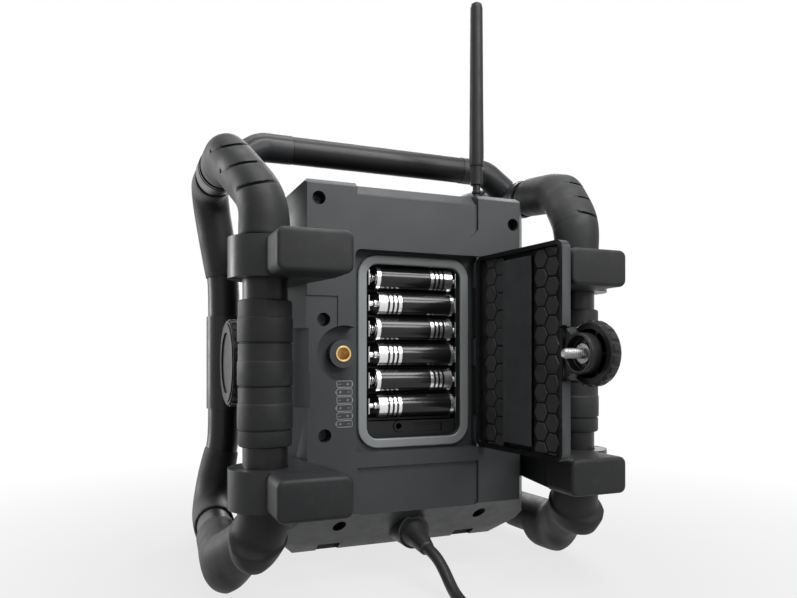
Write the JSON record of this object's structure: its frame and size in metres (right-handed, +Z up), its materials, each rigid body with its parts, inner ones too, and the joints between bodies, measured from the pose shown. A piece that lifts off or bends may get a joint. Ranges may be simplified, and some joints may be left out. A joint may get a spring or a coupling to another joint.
{
  "type": "jobsite radio",
  "caption": "Ruggedised jobsite radio in a bent-tube cage, with an opening battery door and its clamping knob, side dials, keys, antenna and mains lead.",
  "frame": {"origin": "middle of the base on the floor, measured without the free cord and its plug", "axes": "+Z up, front (speaker) towards -Y, battery door on the +Y side"},
  "size_m": [0.2891, 0.358, 0.3565],
  "materials": {
    "rear_housing": "fine spark-eroded texture, satin",
    "front_housing": "fine spark-eroded texture",
    "seal_rubber": "matt",
    "gasket_rubber": "satin silicone",
    "black_plastic": "satin moulded",
    "contact_metal": "nickel plated",
    "cell_sleeve": "gloss shrink sleeve with bare silver bands",
    "brass": "turned",
    "bright_steel": "bright zinc",
    "door_plastic": "satin moulded",
    "foam": "closed-cell foam",
    "antenna_rubber": "satin",
    "cage_tube": "satin black powder coat",
    "cage_plastic": "satin moulded",
    "bumper_rubber": "matt with a slight sheen",
    "grille_metal": "satin black",
    "speaker_metal": "plain",
    "speaker_paper": "coated paper",
    "window": "tinted clear panel",
    "circuit": "solder mask",
    "transformer_iron": "varnished laminations",
    "cord_rubber": "matt"
  },
  "bodies": {
    "housing": {"rear_shell": "rear_housing", "front_shell": "front_housing", "shell_seal": "seal_rubber", "shell_screws": "bright_steel", "battery_tray": "black_plastic", "battery_contacts": "contact_metal", "battery_cell_1": "cell_sleeve", "battery_cell_2": "cell_sleeve", "battery_cell_3": "cell_sleeve", "battery_cell_4": "cell_sleeve", "battery_cell_5": "cell_sleeve", "battery_cell_6": "cell_sleeve", "compartment_gasket": "gasket_rubber", "aux_jack": "black_plastic", "brass_insert": "brass", "hinge_pin": "bright_steel", "antenna_base": "bright_steel", "antenna_whip": "antenna_rubber", "cord_gland": "cord_rubber", "side_loop_left": "cage_tube", "side_loop_right": "cage_tube", "handle_bar": "cage_tube", "handle_elbow_left": "cage_plastic", "handle_elbow_right": "cage_plastic", "rear_sleeve_left": "bumper_rubber", "rear_sleeve_right": "bumper_rubber", "top_bumper_left": "bumper_rubber", "top_bumper_right": "bumper_rubber", "foot_bumper_left": "bumper_rubber", "foot_bumper_right": "bumper_rubber", "front_top_bumpers": "bumper_rubber", "front_foot_bumpers": "bumper_rubber", "rear_clamp_top_left": "cage_plastic", "rear_clamp_top_right": "cage_plastic", "rear_clamp_low_left": "cage_plastic", "rear_clamp_low_right": "cage_plastic", "clamp_pads": "bumper_rubber", "clamp_screws": "bright_steel", "front_clamp_left": "cage_plastic", "front_clamp_right": "cage_plastic", "speaker_grille": "grille_metal", "speaker_basket": "speaker_metal", "speaker_cone": "speaker_paper", "display_window": "window", "main_board": "circuit", "mains_transformer": "transformer_iron", "power_cord": "cord_rubber", "cord_coil": "cord_rubber", "cord_tail": "cord_rubber", "mains_plug": "cord_rubber"},
    "battery_door": {"battery_door": "door_plastic", "door_foam_pad": "foam"},
    "clamping_knob": {"door_knob": "black_plastic", "knob_screw": "bright_steel"},
    "dial_left": {"side_dial_left": "black_plastic"},
    "dial_right": {"side_dial_right": "black_plastic"},
    "key_power": {"button_power": "black_plastic"},
    "key_band": {"button_band": "black_plastic"},
    "key_down": {"button_down": "black_plastic"},
    "key_up": {"button_up": "black_plastic"}
  },
  "joints": [
    {"name": "door_hinge", "type": "hinge", "parent": "housing", "child": "battery_door", "pos_m": [-0.041, 0.02732, 0.135], "axis": [0, 0, 1], "range_deg": [-95, 10]},
    {"name": "knob_turn", "type": "hinge", "parent": "battery_door", "child": "clamping_knob", "pos_m": [-0.06059, 0.11354, 0.1338], "axis": [0.9962, 0.0872, 0], "continuous": true},
    {"name": "dial_left_turn", "type": "hinge", "parent": "housing", "child": "dial_left", "pos_m": [0.089, -0.07368, 0.128], "axis": [1, 0, 0], "continuous": true},
    {"name": "dial_right_turn", "type": "hinge", "parent": "housing", "child": "dial_right", "pos_m": [-0.089, -0.07368, 0.128], "axis": [-1, 0, 0], "continuous": true},
    {"name": "key_power_press", "type": "slide", "parent": "housing", "child": "key_power", "axis": [0, 1, 0], "range_m": [0, 0.0012], "stiffness_N_per_m": 800, "springref_m": -0.001},
    {"name": "key_band_press", "type": "slide", "parent": "housing", "child": "key_band", "axis": [0, 1, 0], "range_m": [0, 0.0012], "stiffness_N_per_m": 800, "springref_m": -0.001},
    {"name": "key_down_press", "type": "slide", "parent": "housing", "child": "key_down", "axis": [0, 1, 0], "range_m": [0, 0.0012], "stiffness_N_per_m": 800, "springref_m": -0.001},
    {"name": "key_up_press", "type": "slide", "parent": "housing", "child": "key_up", "axis": [0, 1, 0], "range_m": [0, 0.0012], "stiffness_N_per_m": 800, "springref_m": -0.001}
  ]
}
